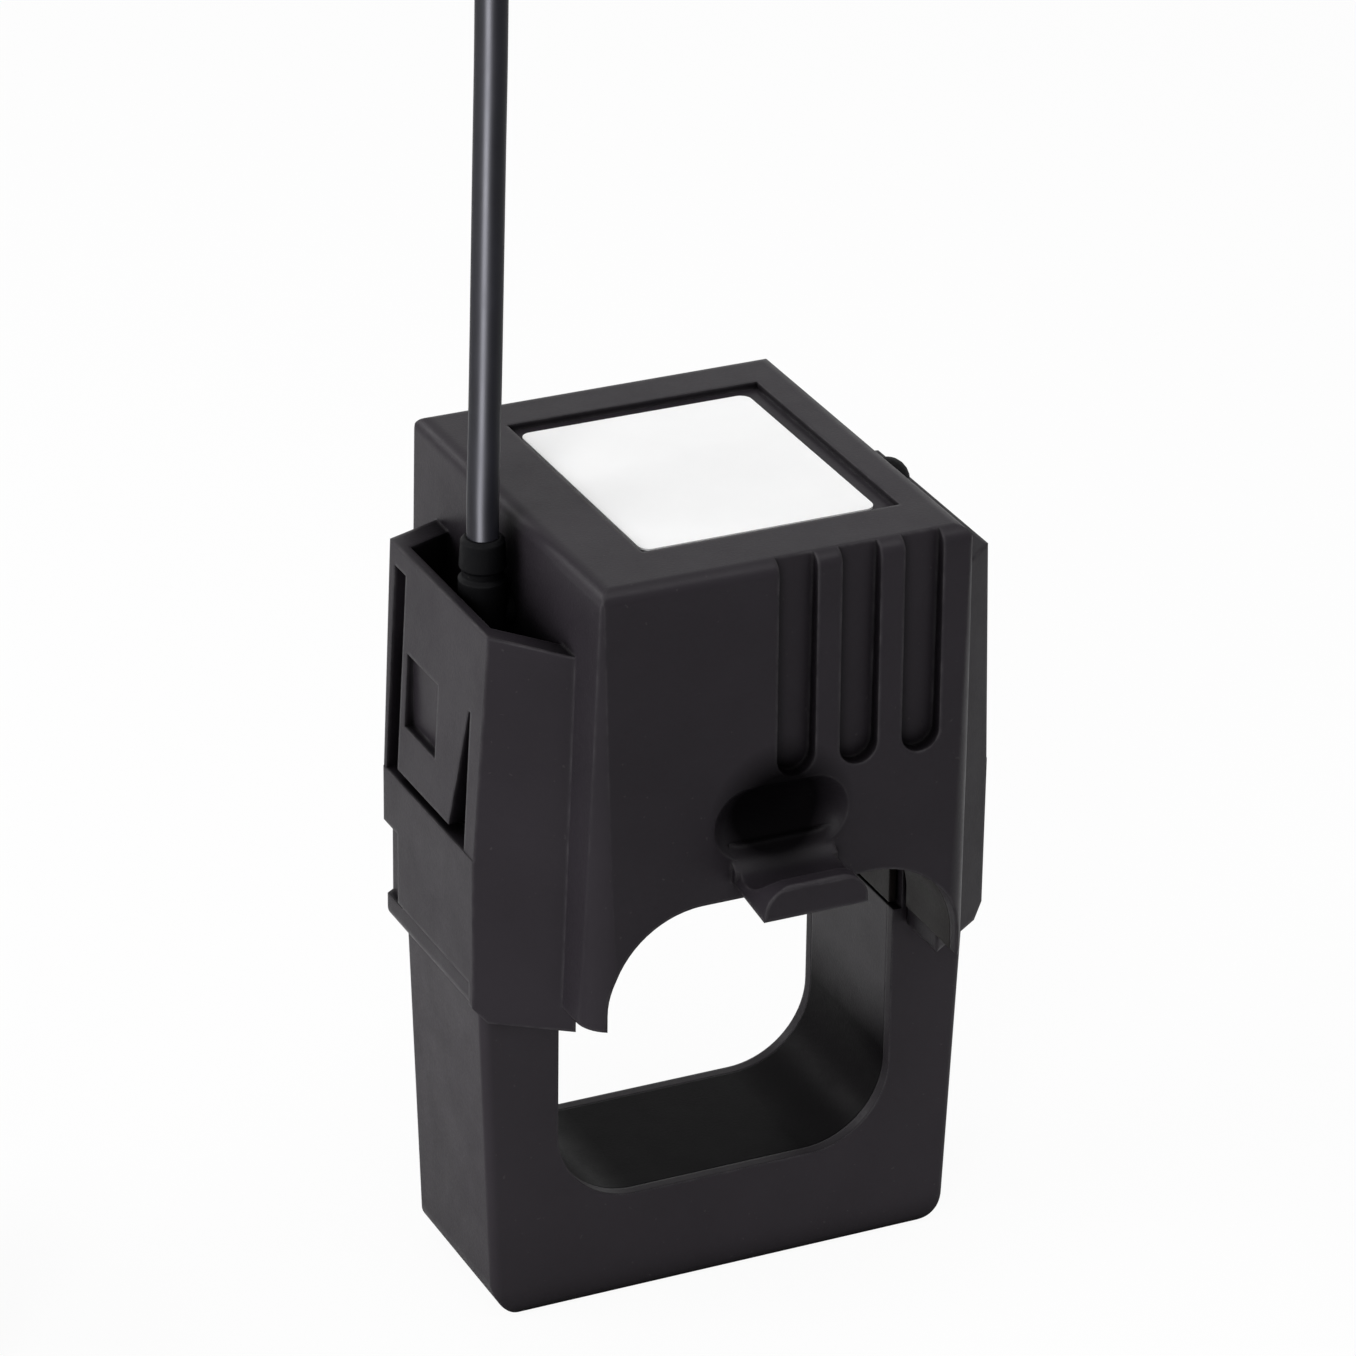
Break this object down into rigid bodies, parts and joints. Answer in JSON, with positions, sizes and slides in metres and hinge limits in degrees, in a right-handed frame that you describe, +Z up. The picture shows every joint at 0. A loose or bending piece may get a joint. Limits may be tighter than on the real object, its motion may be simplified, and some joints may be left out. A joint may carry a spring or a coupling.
{
  "type": "split-core current transformer",
  "caption": "Clip-on measuring transformer: a U-shaped lower core frame plugs up into a winding block with an arched tunnel, wings, cable-tie tongues and a sheathed lead.",
  "frame": {"origin": "centre of the lower frame's foot, on the surface that it stands on", "axes": "+Z up through the window towards the winding block, +Y from the front with the grip flutes to the back along the primary conductor, +X from the lead's wing to the other"},
  "size_m": [0.1671, 0.074, 0.2319],
  "materials": {
    "frame_plastic": "fine spark-eroded moulding, black",
    "housing_plastic": "fine spark-eroded moulding, black",
    "liner_plastic": "smooth moulding, brownish black",
    "label_film": "blank white label",
    "core_steel": "stacked electrical sheet with ground pole faces",
    "spring_steel": "bright spring strip",
    "bobbin_plastic": "natural polyamide",
    "enamelled_wire": "enamelled copper wire in layers",
    "winding_tape": "polyester tape",
    "tinned_metal": "tinned",
    "brown_insulation": "brown wire insulation",
    "blue_insulation": "blue wire insulation",
    "grommet_rubber": "moulded strain relief",
    "lead_sheath": "smooth black sheath",
    "tie_plastic": "hook and loop band"
  },
  "bodies": {
    "lower_frame": {"lower_shell": "frame_plastic", "lower_lining": "frame_plastic", "lower_core": "core_steel", "core_spring": "spring_steel", "cable_coil": "lead_sheath", "coil_tie": "tie_plastic", "cable_tail": "lead_sheath", "core_brown": "brown_insulation", "core_blue": "blue_insulation", "ferrule_brown": "tinned_metal", "ferrule_blue": "tinned_metal"},
    "upper_housing": {"housing_shell": "housing_plastic", "tunnel_liner": "liner_plastic", "nameplate": "label_film", "upper_core": "core_steel", "bobbin": "bobbin_plastic", "secondary_winding": "enamelled_wire", "winding_tape": "winding_tape", "tag_start": "tinned_metal", "tag_finish": "tinned_metal", "inner_lead_brown": "brown_insulation", "inner_lead_blue": "blue_insulation", "cable_grommet": "grommet_rubber", "blanking_plug": "grommet_rubber", "cable_run": "lead_sheath"}
  },
  "joints": [
    {"name": "housing_lift", "type": "slide", "parent": "lower_frame", "child": "upper_housing", "axis": [0, 0, 1], "range_m": [0, 0.03]}
  ]
}
